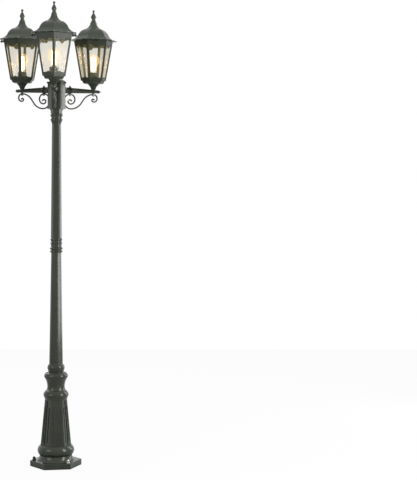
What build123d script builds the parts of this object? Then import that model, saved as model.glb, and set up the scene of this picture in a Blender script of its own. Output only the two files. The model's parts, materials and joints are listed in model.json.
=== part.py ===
from build123d import *
from math import asin, atan2, cos, degrees, hypot, radians, sin, sqrt, tan
import os

os.makedirs("parts", exist_ok=True)

# A garden lamp post: a tapered post on a cast pedestal carries a hexagonal hub, and
# three arms with scrolls each hold a hexagonal lantern. Millimetres, +Z up, with the
# origin in the middle of the foot's underside.

# Driving dimensions: clearances
slip = 0.3          # between pieces that are slid together and left
running = 0.08      # radial, round the stem that a lantern turns on
seat_gap = 0.3      # under and beside pieces that move apart

# Driving dimensions: where the arms and lanterns stand
arm_directions = {"front": -90, "right": 30, "left": 150}
lantern_turns = {"front": 3.5, "right": -16.7, "left": -63.5}
arm_rise = 95          # of the arms' axis above the hub's underside
arm_reach = 207

# Driving dimensions: pedestal
foot_turn = 7
foot_radius = 129
foot_thickness = 29
foot_edge = 2
foot_cavity_radius = 88
foot_cavity_depth = 18
bolt_circle_radius = 109
bolt_hole_radius = 5.6
bolt_cap_radius = 8
bolt_cap_height = 19
bolt_cap_wall = 3
washer_thickness = 2.5
washer_margin = 2
cove_radius = 96
neck_radius = 80.5
neck_height = 55
lower_torus_radius = 92
cone_bottom = 106
cone_bottom_radius = 77
cone_height = 230
cone_top_radius = 55
cone_overlap = 4
cone_wall = 7
groove_depth = 3
groove_clearance = 1
middle_groove_width = 16
side_groove_width = 7
side_groove_offset = 18.5
upper_torus_radius = 63.5
upper_torus_height = 48
pedestal_top_radius = 47.5

# Driving dimensions: posts and collars
collar_waist_radius = 43.5
collar_waist_rise = 18
collar_belly_radius = 59.5
collar_belly_rise = 72
collar_height = 88
collar_shoulder_radius = 50
collar_spigot_radius = 34
spigot_length = 26
collar_bore_radius = 27
lower_post_length = 601
lower_post_bottom_radius = 34.6
lower_post_top_radius = 25.8
lower_post_sides = 12
lower_post_bore_radius = 19.5
lower_post_bead_radius = 43
lower_post_bead_height = 44
lower_post_spigot_radius = 31
mid_joint_height = 76
mid_joint_radius = 27
mid_joint_beads = [(9, 5, 4.5), (24, 6, 5), (50, 4.5, 3), (68, 5, 3.5)]
mid_joint_bore_radius = 13
upper_post_length = 568
upper_post_bottom_radius = 27.5
upper_post_top_radius = 22.8
upper_post_bore_radius = 16
top_collar_height = 76
top_collar_flare_radius = 28.5
top_collar_beads = [(22, 5.5, 4), (45, 7, 4.5)]
top_collar_neck_radius = 29.5
top_collar_neck_height = 16
top_collar_step_radius = 33
top_collar_step_height = 7
top_collar_bore_radius = 11
top_spigot_radius = 18

# Driving dimensions: hub
hub_radius = 44.5
hub_height = 122
hub_lip_radius = 46.5
hub_lip_height = 11
hub_wall = 5.5
hub_floor = 8
hub_cap_neck_height = 4
hub_cap_rim_radius = 49
hub_cap_rim_height = 10
hub_cap_dome_rise = 17
hub_cap_spigot_depth = 9
hub_cap_wall = 3
terminal_size = (24, 10, 15)
terminal_poles = 3
dome_screw_radius = 2.8
dome_screw_head_radius = 5
dome_screw_head_height = 3.6
dome_screw_length = 12

# Driving dimensions: arms
arm_root_half = 20
arm_root_thickness = 4
arm_neck_half = 15
arm_collar_reach = 76
arm_collar_half = 23.5
arm_collar_width = 8
arm_bar_root_radius = 15.3
arm_bar_end_radius = 10.2
arm_seat_radius = 11
arm_seat_rise = 10
arm_seat_half = 16
arm_stub_length = 26
arm_stub_radius = 9
arm_bore_radius = 4
tip_neck_radius = 4
tip_radius = 8.2
tip_length = 20
tip_point_radius = 0.8
tip_stud_radius = 3
tip_stud_length = 10
scroll_radius = 3.8
scroll_hub_run = 4.1   # upright stretch between the bends, against the hub
scroll_inner_drop = 18
scroll_outer_drop = 14.5
scroll_lower_bend = 36
scroll_run_bend = 0.984  # of the radius at which the run's two bends would meet
inner_volute_bends = [(26.5, 71), (23.5, 128.5), (10, 214.5)]
outer_volute_bends = [(19.5, 96), (17.8, 111), (6.5, 202)]
clip_width = 7
clip_thickness = 12
clip_below = 4.5
clip_screw_radius = 1.6
clip_screw_head_radius = 3.2
clip_screw_head_height = 2.8
clip_screw_length = 3.5
hub_screw_radius = 1.8
hub_screw_head_radius = 4
hub_screw_depth = 4

# Driving dimensions: lantern, with heights above the arm's axis
stem_radius = 5
stem_bore_radius = 3.2
stem_depth = 12
stem_nut_across = 17
stem_nut_height = 6
calyx_bottom_radius = 10.5
calyx_top_radius = 30
calyx_height = 29
calyx_leaves = 12
calyx_notch_radius = 4
pan_bottom_radius = 47
pan_radius = 56.5
pan_height = 17
pan_band = 4
pan_wall = 3
pan_floor = 4
cage_overhang = 2
cage_bottom_radius = 64.5
cage_top_radius = 100
cage_height = 198
cage_wall = 2.6
cage_rail_depth = 2
cage_rail_width = 10
mullion_half = 8.5
gallery_base = 12
gallery_lobes = [2, 3, 7, 3, 2]
valance_base = 14
valance_lobes = [3, 5, 11, 5, 3]
pane_thickness = 2.2
holder_radius = 22
holder_height = 52
holder_cavity_radius = 13.5
holder_cavity_height = 12
holder_bore_radius = 13.5
holder_bore_depth = 29
cap_radius = 13.2
cap_height = 31
cap_contact_radius = 4.5
cap_contact_height = 2
cap_wall = 0.8
bulb_radius = 30
bulb_neck_radius = 13.6
bulb_height = 89
bulb_wall = 1
stem_glass_radius = 4
stem_glass_height = 10
filament_radius = 1.2
filament_ring_radius = 9.5
filament_count = 6
filament_length = 60
filament_ring_half = 1.9
filament_ring_height = 1
roof_radius = 123
roof_lip_height = 5
roof_height = 91
roof_neck_apothem = 14
roof_wall = 2.2
roof_skirt_wall = 3
roof_skirt_rise = 9
roof_tab_width = 14
roof_tab_rise = 3.6
roof_tab_drop = 15
roof_tab_thickness = 4
finial_bead_radius = 13
finial_neck_radius = 9.8
finial_cone_radius = 14
finial_ball_radius = 6.4
finial_height = 62.5
finial_stud_radius = 3
finial_stud_length = 14
thumb_screw_radius = 2.5
thumb_screw_drop = 10
thumb_screw_boss_radius = 4.5
thumb_screw_reach = 22
thumb_wing_span = 17
thumb_wing_rise = 7
thumb_lobe_radius = 5
thumb_plate = 3

# Heights up the post, worked out from the sizes above
hexagon = cos(radians(30))
cone_top = cone_bottom + cone_height
pedestal_top = cone_top + upper_torus_height
collar_top = pedestal_top + collar_height
lower_post_top = collar_top + lower_post_length
mid_joint_top = lower_post_top + mid_joint_height
upper_post_top = mid_joint_top + upper_post_length
hub_bottom = upper_post_top + top_collar_height
hub_top = hub_bottom + hub_height
hub_face = hub_radius * hexagon
hub_bore = hub_face - hub_wall
arm_height = hub_bottom + arm_rise
bar_reach = hub_face + scroll_radius + seat_gap
inner_bend = arm_collar_reach - bar_reach
run_top_drop = scroll_inner_drop + inner_bend
run_bottom_drop = run_top_drop + scroll_hub_run
scroll_hub_screw_drop = (run_top_drop + run_bottom_drop) / 2
scroll_lowest_drop = run_bottom_drop + scroll_lower_bend


def hexagonal_rings(outline, reach, low, high):
    # A half outline, drawn as apothem against height, carried round six mitred sides
    with BuildPart() as sector:
        with BuildSketch(Plane.XZ):
            with BuildLine():
                outline()
            make_face()
        extrude(amount=reach, both=True)
        with BuildSketch(Plane.XY.offset(low)):
            with BuildLine():
                half = reach * tan(radians(30))
                Polyline((0, 0), (reach, -half), (reach, half), (0, 0))
            make_face()
        extrude(amount=high - low, mode=Mode.INTERSECT)
    with BuildPart() as ring:
        with PolarLocations(0, 6, start_angle=30):
            add(sector.part)
    return ring.part


def beaded_outline(core, bottom, top, beads):
    # A straight core from the axis outwards, with a round bead at each given height
    corner = (core, bottom)
    for rise, half, bulge in beads:
        middle = bottom + rise
        Line(corner, (core, middle - half))
        ThreePointArc((core, middle - half), (core + bulge, middle), (core, middle + half))
        corner = (core, middle + half)
    Polyline(corner, (core, top), (0, top), (0, bottom), (core, bottom))


def place_on_arms(piece, name):
    for arm, direction in arm_directions.items():
        with BuildPart() as placed:
            with Locations(Location((0, 0, arm_height), (0, 0, direction))):
                add(piece)
        placed.part.label = f"{name}_{arm}"
        export_step(placed.part, f"parts/{name}_{arm}.step")


def place_in_lanterns(piece, name):
    for arm, direction in arm_directions.items():
        x = arm_reach * cos(radians(direction))
        y = arm_reach * sin(radians(direction))
        with BuildPart() as placed:
            with Locations(Location((x, y, arm_height), (0, 0, direction + lantern_turns[arm]))):
                add(piece)
        placed.part.label = f"{name}_{arm}"
        export_step(placed.part, f"parts/{name}_{arm}.step")


# Pedestal: foot plate, coved neck, torus, grooved cone and upper torus, hollow below
torus_rise = cone_bottom - neck_height
cone_slope = (cone_bottom_radius - cone_top_radius) * hexagon / (cone_height + 2 * cone_overlap)
face_middle = (cone_bottom_radius + cone_top_radius) / 2 * hexagon
face_tilt = degrees(atan2(cone_slope, 1))
groove_planes = []
for side in range(6):
    facing = foot_turn + 30 + side * 60
    across = (-sin(radians(facing)), cos(radians(facing)), 0)
    lean = radians(face_tilt)
    outward = (cos(radians(facing)) * cos(lean), sin(radians(facing)) * cos(lean), sin(lean))
    middle = (
        face_middle * cos(radians(facing)) + groove_clearance * outward[0],
        face_middle * sin(radians(facing)) + groove_clearance * outward[1],
        cone_bottom + cone_height / 2 + groove_clearance * outward[2],
    )
    groove_planes.append(Plane(origin=middle, x_dir=across, z_dir=outward))

with BuildPart() as pedestal:
    with BuildSketch():
        RegularPolygon(foot_radius, 6, rotation=foot_turn)
    extrude(amount=foot_thickness)
    chamfer(pedestal.faces().sort_by(Axis.Z)[-1].edges(), foot_edge)
    with BuildSketch(Plane.XY.offset(cone_bottom - cone_overlap)):
        RegularPolygon(cone_bottom_radius, 6, rotation=foot_turn)
    with BuildSketch(Plane.XY.offset(cone_top + cone_overlap)):
        RegularPolygon(cone_top_radius, 6, rotation=foot_turn)
    loft()
    with BuildSketch(*groove_planes):
        SlotOverall(cone_height * 0.96, middle_groove_width, rotation=90)
        with Locations((-side_groove_offset, -cone_height * 0.05), (side_groove_offset, -cone_height * 0.05)):
            SlotOverall(cone_height * 0.78, side_groove_width, rotation=90)
    extrude(amount=-groove_depth - groove_clearance, mode=Mode.SUBTRACT)
    with BuildSketch(Plane.XZ):
        with BuildLine():
            ThreePointArc(
                (cove_radius, foot_thickness),
                (neck_radius + 6, foot_thickness + 10),
                (neck_radius, neck_height),
            )
            ThreePointArc(
                (neck_radius, neck_height),
                (lower_torus_radius, neck_height + torus_rise * 0.5),
                (cone_bottom_radius + 1, cone_bottom),
            )
            Polyline(
                (cone_bottom_radius + 1, cone_bottom),
                (0, cone_bottom),
                (0, foot_thickness),
                (cove_radius, foot_thickness),
            )
        make_face()
    revolve(axis=Axis.Z)
    with BuildSketch(Plane.XZ):
        with BuildLine():
            torus_middle = cone_top + upper_torus_height * 0.52
            ThreePointArc(
                (cone_top_radius - 1, cone_top),
                (upper_torus_radius - 3.5, cone_top + upper_torus_height * 0.27),
                (upper_torus_radius, torus_middle),
            )
            ThreePointArc(
                (upper_torus_radius, torus_middle),
                (upper_torus_radius - 5, cone_top + upper_torus_height * 0.77),
                (pedestal_top_radius, pedestal_top),
            )
            Polyline(
                (pedestal_top_radius, pedestal_top),
                (0, pedestal_top),
                (0, cone_top),
                (cone_top_radius - 1, cone_top),
            )
        make_face()
    revolve(axis=Axis.Z)
    with BuildSketch(Plane.XZ):
        with BuildLine():
            Polyline(
                (0, 0),
                (foot_cavity_radius, 0),
                (foot_cavity_radius, foot_cavity_depth),
                (cone_bottom_radius * hexagon - cone_wall, neck_height),
                (cone_bottom_radius * hexagon - cone_wall, cone_bottom),
                (cone_top_radius * hexagon - cone_wall, cone_top),
                (collar_spigot_radius + slip, pedestal_top - spigot_length - slip),
                (collar_spigot_radius + slip, pedestal_top),
                (0, pedestal_top),
                (0, 0),
            )
        make_face()
    revolve(axis=Axis.Z, mode=Mode.SUBTRACT)
    with BuildSketch(Plane.XY.offset(foot_thickness)):
        with PolarLocations(bolt_circle_radius, 3, start_angle=foot_turn + 60):
            Circle(bolt_hole_radius)
    extrude(amount=-foot_thickness, mode=Mode.SUBTRACT)
pedestal.part.label = "pedestal"
export_step(pedestal.part, "parts/pedestal.step")

# Anchor nuts: washer and domed cap nut over each of the foot's three bolt holes
nut_seat = foot_thickness + washer_thickness
nut_crown = foot_thickness + bolt_cap_height
with BuildPart() as anchor_nut:
    with BuildSketch(Plane.XY.offset(foot_thickness)):
        Circle(bolt_cap_radius + washer_margin)
    extrude(amount=washer_thickness)
    with BuildSketch(Plane.XZ):
        with BuildLine():
            nut_shoulder = nut_crown - bolt_cap_radius
            Polyline((0, nut_seat), (bolt_cap_radius, nut_seat), (bolt_cap_radius, nut_shoulder))
            RadiusArc((bolt_cap_radius, nut_shoulder), (0, nut_crown), -bolt_cap_radius)
            Line((0, nut_crown), (0, nut_seat))
        make_face()
    revolve(axis=Axis.Z)
    with BuildSketch(Plane.XY.offset(foot_thickness)):
        Circle(bolt_hole_radius)
    extrude(amount=bolt_cap_height - bolt_cap_wall - bolt_cap_radius + bolt_hole_radius, mode=Mode.SUBTRACT)
with BuildPart() as anchor_nuts:
    with PolarLocations(bolt_circle_radius, 3, start_angle=foot_turn + 60):
        add(anchor_nut.part)
anchor_nuts.part.label = "anchor_nuts"
export_step(anchor_nuts.part, "parts/anchor_nuts.step")

# Pedestal collar: a vase that plugs into the pedestal and takes the lower post
shoulder_height = collar_top - 1.5
with BuildPart() as pedestal_collar:
    with BuildSketch(Plane.XZ):
        with BuildLine():
            ThreePointArc(
                (pedestal_top_radius, pedestal_top),
                (collar_waist_radius + 0.5, pedestal_top + collar_waist_rise * 0.6),
                (collar_waist_radius, pedestal_top + collar_waist_rise),
            )
            ThreePointArc(
                (collar_waist_radius, pedestal_top + collar_waist_rise),
                (collar_waist_radius + 5, pedestal_top + (collar_waist_rise + collar_belly_rise) / 2),
                (collar_belly_radius - 2, pedestal_top + collar_belly_rise - 10),
            )
            ThreePointArc(
                (collar_belly_radius - 2, pedestal_top + collar_belly_rise - 10),
                (collar_belly_radius, pedestal_top + collar_belly_rise),
                (collar_shoulder_radius, shoulder_height),
            )
            Polyline(
                (collar_shoulder_radius, shoulder_height),
                (lower_post_spigot_radius + 9, shoulder_height),
                (lower_post_spigot_radius + 8, collar_top),
                (lower_post_spigot_radius + slip, collar_top),
                (lower_post_spigot_radius + slip, collar_top - spigot_length - slip),
                (collar_bore_radius, collar_top - spigot_length - slip),
                (collar_bore_radius, pedestal_top - spigot_length),
                (collar_spigot_radius, pedestal_top - spigot_length),
                (collar_spigot_radius, pedestal_top),
                (pedestal_top_radius, pedestal_top),
            )
        make_face()
    revolve(axis=Axis.Z)
    screw_circle = (lower_post_spigot_radius + 9 + collar_shoulder_radius) / 2
    with BuildSketch(Plane.XY.offset(shoulder_height)):
        with PolarLocations(screw_circle, 2, start_angle=foot_turn):
            Circle(dome_screw_radius + slip)
    extrude(amount=-dome_screw_length - 1, mode=Mode.SUBTRACT)
pedestal_collar.part.label = "pedestal_collar"
export_step(pedestal_collar.part, "parts/pedestal_collar.step")

# Lower post: beaded foot, then a tapered twelve-sided tube
with BuildPart() as lower_post:
    with BuildSketch(Plane.XY.offset(collar_top + lower_post_bead_height - 4)):
        RegularPolygon(lower_post_bottom_radius, lower_post_sides, rotation=15)
    with BuildSketch(Plane.XY.offset(lower_post_top)):
        RegularPolygon(lower_post_top_radius, lower_post_sides, rotation=15)
    loft()
    with BuildSketch(Plane.XZ):
        with BuildLine():
            bead_bottom = collar_top + 6
            bead_top = collar_top + lower_post_bead_height - 5
            bead_middle = bead_bottom + (bead_top - bead_bottom) * 0.6
            Polyline(
                (0, collar_top - spigot_length),
                (lower_post_spigot_radius, collar_top - spigot_length),
                (lower_post_spigot_radius, collar_top),
                (lower_post_bead_radius - 4.5, collar_top),
                (lower_post_bead_radius - 4.5, bead_bottom),
            )
            ThreePointArc(
                (lower_post_bead_radius - 4.5, bead_bottom),
                (lower_post_bead_radius, bead_middle),
                (lower_post_bottom_radius + 3, bead_top),
            )
            Polyline(
                (lower_post_bottom_radius + 3, bead_top),
                (lower_post_bottom_radius - 1, collar_top + lower_post_bead_height),
                (0, collar_top + lower_post_bead_height),
                (0, collar_top - spigot_length),
            )
        make_face()
    revolve(axis=Axis.Z)
    with BuildSketch(Plane.XY.offset(collar_top - spigot_length)):
        Circle(lower_post_bore_radius)
    extrude(until=Until.LAST, mode=Mode.SUBTRACT)
lower_post.part.label = "lower_post"
export_step(lower_post.part, "parts/lower_post.step")

# Mid joint: ringed coupling with a spigot into the post below and the post above
with BuildPart() as mid_joint:
    with BuildSketch(Plane.XZ):
        with BuildLine():
            beaded_outline(mid_joint_radius, lower_post_top, mid_joint_top, mid_joint_beads)
        make_face()
    revolve(axis=Axis.Z)
    with BuildSketch(Plane.XY.offset(lower_post_top - spigot_length)):
        Circle(lower_post_bore_radius - slip)
    extrude(amount=spigot_length)
    with BuildSketch(Plane.XY.offset(mid_joint_top)):
        Circle(upper_post_bore_radius - slip)
    extrude(amount=spigot_length)
    with BuildSketch(Plane.XY.offset(lower_post_top - spigot_length)):
        Circle(mid_joint_bore_radius)
    extrude(until=Until.LAST, mode=Mode.SUBTRACT)
mid_joint.part.label = "mid_joint"
export_step(mid_joint.part, "parts/mid_joint.step")

# Upper post: tapered hexagonal tube
with BuildPart() as upper_post:
    with BuildSketch(Plane.XY.offset(mid_joint_top)):
        RegularPolygon(upper_post_bottom_radius, 6)
    with BuildSketch(Plane.XY.offset(upper_post_top)):
        RegularPolygon(upper_post_top_radius, 6)
    loft()
    with BuildSketch(Plane.XY.offset(mid_joint_top)):
        Circle(upper_post_bore_radius)
    extrude(until=Until.LAST, mode=Mode.SUBTRACT)
upper_post.part.label = "upper_post"
export_step(upper_post.part, "parts/upper_post.step")

# Top collar: flare and two beads, a hexagonal neck and a step under the hub
neck_top = hub_bottom - top_collar_step_height
neck_bottom = neck_top - top_collar_neck_height
with BuildPart() as top_collar:
    with BuildSketch(Plane.XZ):
        with BuildLine():
            flare_top = upper_post_top + 14
            ThreePointArc(
                (upper_post_top_radius, upper_post_top),
                (top_collar_flare_radius - 4, upper_post_top + 8),
                (top_collar_flare_radius - 1, flare_top),
            )
            Polyline(
                (top_collar_flare_radius - 1, flare_top),
                (0, flare_top),
                (0, upper_post_top),
                (upper_post_top_radius, upper_post_top),
            )
        make_face()
        with BuildLine():
            beaded_outline(
                top_collar_flare_radius - 1.5, flare_top, neck_bottom,
                [(rise - 14, half, bulge) for rise, half, bulge in top_collar_beads],
            )
        make_face()
    revolve(axis=Axis.Z)
    with BuildSketch(Plane.XY.offset(neck_bottom)):
        RegularPolygon(top_collar_neck_radius, 6)
    extrude(amount=top_collar_neck_height)
    with BuildSketch(Plane.XY.offset(neck_top)):
        RegularPolygon(top_collar_step_radius, 6)
    extrude(amount=top_collar_step_height)
    with BuildSketch(Plane.XY.offset(hub_bottom)):
        Circle(top_spigot_radius)
    extrude(amount=hub_floor)
    with BuildSketch(Plane.XY.offset(upper_post_top - spigot_length)):
        Circle(upper_post_bore_radius - slip)
    extrude(amount=spigot_length)
    with BuildSketch(Plane.XY.offset(upper_post_top - spigot_length)):
        Circle(top_collar_bore_radius)
    extrude(until=Until.LAST, mode=Mode.SUBTRACT)
top_collar.part.label = "top_collar"
export_step(top_collar.part, "parts/top_collar.step")

# Hub: hollow hexagonal block with a lip, a cable way to each arm and screw holes
with BuildPart() as hub:
    with BuildSketch(Plane.XY.offset(hub_bottom)):
        RegularPolygon(hub_radius, 6)
    extrude(amount=hub_height)
    fillet(hub.edges().filter_by(Axis.Z), 1.5)
    with BuildSketch(Plane.XY.offset(hub_bottom)):
        RegularPolygon(hub_lip_radius, 6)
    extrude(amount=hub_lip_height)
    with BuildSketch(Plane.XY.offset(hub_bottom + hub_floor)):
        Circle(hub_bore)
    extrude(until=Until.LAST, mode=Mode.SUBTRACT)
    with BuildSketch(Plane.XY.offset(hub_bottom)):
        Circle(top_spigot_radius + slip)
    extrude(amount=hub_floor, mode=Mode.SUBTRACT)
    for direction in arm_directions.values():
        arm_plane = Plane(origin=(0, 0, arm_height), x_dir=(-sin(radians(direction)), cos(radians(direction)), 0),
                          z_dir=(cos(radians(direction)), sin(radians(direction)), 0))
        with BuildSketch(arm_plane):
            Circle(arm_bore_radius)
        extrude(amount=hub_radius, mode=Mode.SUBTRACT)
        with BuildSketch(arm_plane.offset(hub_face - hub_screw_depth - 1)):
            with Locations((0, -scroll_hub_screw_drop)):
                Circle(hub_screw_radius + slip)
        extrude(amount=hub_radius, mode=Mode.SUBTRACT)
hub.part.label = "hub"
export_step(hub.part, "parts/hub.step")

# Hub cap: recessed neck, overhanging rim and a low six-sided dome
rim_bottom = hub_top + hub_cap_neck_height
rim_top = rim_bottom + hub_cap_rim_height
cap_top = rim_top + hub_cap_dome_rise
rim_apothem = hub_cap_rim_radius * hexagon
dome_apothem = dome_screw_head_radius + 3


def cap_outline():
    Polyline((0, hub_top), (rim_apothem - 4, hub_top), (rim_apothem - 4, rim_bottom))
    Polyline((rim_apothem - 4, rim_bottom), (rim_apothem, rim_bottom + 1.5), (rim_apothem, rim_top - 3))
    RadiusArc((rim_apothem, rim_top - 3), (rim_apothem - 3, rim_top), -3)
    ThreePointArc(
        (rim_apothem - 3, rim_top),
        (rim_apothem * 0.62, rim_top + hub_cap_dome_rise * 0.62),
        (dome_apothem, cap_top),
    )
    Polyline((dome_apothem, cap_top), (0, cap_top), (0, hub_top))


hub_cap_shell = hexagonal_rings(cap_outline, rim_apothem + 5, hub_top - 1, cap_top + 1)
with BuildPart() as hub_cap:
    add(hub_cap_shell)
    with BuildSketch(Plane.XY.offset(hub_top - hub_cap_spigot_depth)):
        Circle(hub_bore - slip)
    extrude(amount=hub_cap_spigot_depth)
    with BuildSketch(Plane.XY.offset(hub_top - hub_cap_spigot_depth)):
        Circle(hub_bore - slip - hub_cap_wall)
    extrude(amount=hub_cap_spigot_depth + hub_cap_neck_height + hub_cap_rim_height - 1, mode=Mode.SUBTRACT)
    with BuildSketch(Plane.XY.offset(cap_top)):
        Circle(dome_screw_radius + slip)
    extrude(amount=-dome_screw_length - 1, mode=Mode.SUBTRACT)
hub_cap.part.label = "hub_cap"
export_step(hub_cap.part, "parts/hub_cap.step")

# Dome-headed screws: two on the collar's shoulder and one on top of the hub cap
with BuildPart() as dome_screw:
    with BuildSketch(Plane.XZ):
        with BuildLine():
            Polyline(
                (0, -dome_screw_length),
                (dome_screw_radius, -dome_screw_length),
                (dome_screw_radius, 0),
                (dome_screw_head_radius, 0),
            )
            ThreePointArc(
                (dome_screw_head_radius, 0),
                (dome_screw_head_radius * 0.8, dome_screw_head_height * 0.66),
                (1, dome_screw_head_height),
            )
            Polyline((1, dome_screw_head_height), (0, dome_screw_head_height), (0, -dome_screw_length))
        make_face()
    revolve(axis=Axis.Z)
with BuildPart() as post_screws:
    with Locations((0, 0, cap_top)):
        add(dome_screw.part)
    with Locations((0, 0, shoulder_height)):
        with PolarLocations(screw_circle, 2, start_angle=foot_turn):
            add(dome_screw.part)
post_screws.part.label = "post_screws"
export_step(post_screws.part, "parts/post_screws.step")

# Terminal block: stands on the hub's floor, between two arms
terminal_length, terminal_depth, terminal_height = terminal_size
terminal_reach = (top_spigot_radius + hub_bore) / 2 - 1
with BuildPart() as terminal_block:
    with BuildSketch(Plane.XY.offset(hub_bottom + hub_floor)):
        with Locations((0, terminal_reach)):
            RectangleRounded(terminal_length, terminal_depth, 1)
    extrude(amount=terminal_height)
    with BuildSketch(Plane.XY.offset(hub_bottom + hub_floor + terminal_height)):
        with Locations((0, terminal_reach)):
            with GridLocations(terminal_length / terminal_poles, 0, terminal_poles, 1):
                Circle(terminal_length / terminal_poles * 0.3)
    extrude(amount=-4, mode=Mode.SUBTRACT)
terminal_block.part.label = "terminal_block"
export_step(terminal_block.part, "parts/terminal_block.step")

# The pieces below are drawn along +X with the arm's axis at z = 0, then set on each arm

# Scroll: one round bar, drawn as a chain of arcs from a short upright run on the hub
lowest = (bar_reach + scroll_lower_bend, -scroll_lowest_drop)
outer_top = (arm_reach + 2, -scroll_outer_drop)
run_top = (bar_reach, -run_top_drop)
run_bottom = (bar_reach, -run_bottom_drop)
span = outer_top[0] - lowest[0]
climb = outer_top[1] - lowest[1]
# two equal bends and the straight between them reach exactly from the lowest to the top point
run_radius = scroll_run_bend * (span**2 + climb**2) / (4 * climb)
run_straight = sqrt(span**2 + climb**2 - 4 * run_radius * climb)
bend_centres = hypot(span, climb - 2 * run_radius)
run_slope = degrees(atan2(climb - 2 * run_radius, span) + asin(2 * run_radius / bend_centres))


def scroll_path():
    outer = JernArc(run_bottom, (0, -1), scroll_lower_bend, 90)
    outer = JernArc(outer @ 1, outer % 1, run_radius, run_slope)
    outer = Line(outer @ 1, (outer @ 1) + (outer % 1) * run_straight)
    outer = JernArc(outer @ 1, outer % 1, run_radius, -run_slope)
    for bend_radius, bend_angle in outer_volute_bends:
        outer = JernArc(outer @ 1, outer % 1, bend_radius, -bend_angle)
    Line(run_bottom, run_top)
    inner = JernArc(run_top, (0, 1), inner_bend, -90)
    for bend_radius, bend_angle in inner_volute_bends:
        inner = JernArc(inner @ 1, inner % 1, bend_radius, -bend_angle)
    return outer @ 1, inner @ 1


with BuildLine(Plane.XZ) as scroll_line:
    scroll_path()
scroll_wire = scroll_line.wire()
screw_hole_length = 4 * scroll_radius
with BuildPart() as scroll:
    with BuildSketch(scroll_wire ^ 0):
        Circle(scroll_radius)
    sweep(path=scroll_wire)
    for end in (scroll_wire @ 0, scroll_wire @ 1):
        with Locations(end):
            Sphere(scroll_radius * 1.15)
    with BuildSketch(Plane.YZ.offset(bar_reach - screw_hole_length / 2)):
        with Locations((0, -scroll_hub_screw_drop)):
            Circle(hub_screw_radius + slip)
    extrude(amount=screw_hole_length, mode=Mode.SUBTRACT)
place_on_arms(scroll.part, "scroll")

# Room that the bar takes out of the clips
with BuildPart() as scroll_room:
    with BuildSketch(scroll_wire ^ 0):
        Circle(scroll_radius + slip)
    sweep(path=scroll_wire)

# Arm: root plate, waisted neck, diamond collar, tapered bar, seat, stub and two clips
stub_end = arm_reach + arm_stub_length
collar_start = arm_collar_reach - arm_collar_width / 2
collar_end = arm_collar_reach + arm_collar_width / 2
clip_bottoms = {
    arm_collar_reach: -scroll_inner_drop - scroll_radius - clip_below,
    arm_reach: -scroll_outer_drop - scroll_radius - clip_below,
}
with BuildPart() as arm:
    for start, half, thickness in (
        (hub_face, arm_root_half, arm_root_thickness),
        (collar_start, arm_collar_half, arm_collar_width * 0.6),
        (collar_start, arm_collar_half - 3, arm_collar_width),
    ):
        with BuildSketch(Plane.YZ.offset(start)):
            RegularPolygon(half, 4)
        extrude(amount=thickness)
    neck_start = hub_face + arm_root_thickness
    for reach, half in (
        (neck_start, arm_root_half - 1),
        ((neck_start + collar_start) / 2, arm_neck_half),
        (collar_start, arm_neck_half + 2),
    ):
        with BuildSketch(Plane.YZ.offset(reach)):
            RegularPolygon(half, 4)
    loft()
    with BuildSketch(Plane.YZ.offset(collar_end)):
        RegularPolygon(arm_bar_root_radius, 6)
    with BuildSketch(Plane.YZ.offset(arm_reach)):
        RegularPolygon(arm_bar_end_radius, 6)
    loft()
    with BuildSketch(Plane.YZ.offset(arm_reach)):
        RegularPolygon(arm_stub_radius, 6)
    extrude(amount=arm_stub_length)
    with BuildSketch(Plane.YZ.offset(arm_reach - arm_collar_width / 2)):
        RegularPolygon(arm_seat_half, 4)
    extrude(amount=arm_collar_width)
    with BuildSketch(Plane.XY.offset(-arm_bar_end_radius / 2)):
        with Locations((arm_reach, 0)):
            Circle(arm_seat_radius)
    extrude(amount=arm_bar_end_radius / 2 + arm_seat_rise)
    for reach, bottom in clip_bottoms.items():
        with BuildSketch(Plane.XZ.offset(-clip_thickness / 2)):
            with Locations((reach, bottom)):
                Rectangle(clip_width, -bottom, align=(Align.CENTER, Align.MIN))
        extrude(amount=clip_thickness)
    with BuildSketch(Plane.XY.offset(arm_seat_rise)):
        with Locations((arm_reach, 0)):
            Circle(arm_seat_half + 5)
    extrude(amount=arm_seat_half, mode=Mode.SUBTRACT)
    add(scroll_room.part, mode=Mode.SUBTRACT)
    with BuildSketch(Plane.YZ.offset(hub_face)):
        Circle(arm_bore_radius)
    extrude(amount=arm_reach - hub_face, mode=Mode.SUBTRACT)
    with BuildSketch(Plane.XY.offset(arm_seat_rise)):
        with Locations((arm_reach, 0)):
            Circle(stem_radius + slip / 3)
    extrude(amount=-stem_depth, mode=Mode.SUBTRACT)
    with BuildSketch(Plane.YZ.offset(stub_end)):
        Circle(tip_stud_radius + slip)
    extrude(amount=-tip_stud_length - slip, mode=Mode.SUBTRACT)
    for reach, bottom in clip_bottoms.items():
        with BuildSketch(Plane.XY.offset(bottom)):
            with Locations((reach, 0)):
                Circle(clip_screw_radius + slip)
        extrude(amount=clip_screw_length + slip, mode=Mode.SUBTRACT)
place_on_arms(arm.part, "arm")

# Arm tip: turned arrow head with a stud that goes into the stub
with BuildPart() as arm_tip:
    with BuildSketch(Plane.XZ):
        with BuildLine():
            Polyline(
                (stub_end - tip_stud_length, 0),
                (stub_end - tip_stud_length, tip_stud_radius),
                (stub_end, tip_stud_radius),
                (stub_end, tip_neck_radius + 1.5),
                (stub_end + 3, tip_neck_radius),
                (stub_end + 5, tip_radius - 0.6),
                (stub_end + 7, tip_radius),
            )
            ThreePointArc(
                (stub_end + 7, tip_radius),
                (stub_end + 11, tip_radius * 0.45),
                (stub_end + tip_length, tip_point_radius),
            )
            Polyline(
                (stub_end + tip_length, tip_point_radius),
                (stub_end + tip_length, 0),
                (stub_end - tip_stud_length, 0),
            )
        make_face()
    revolve(axis=Axis.X)
place_on_arms(arm_tip.part, "arm_tip")

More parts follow.
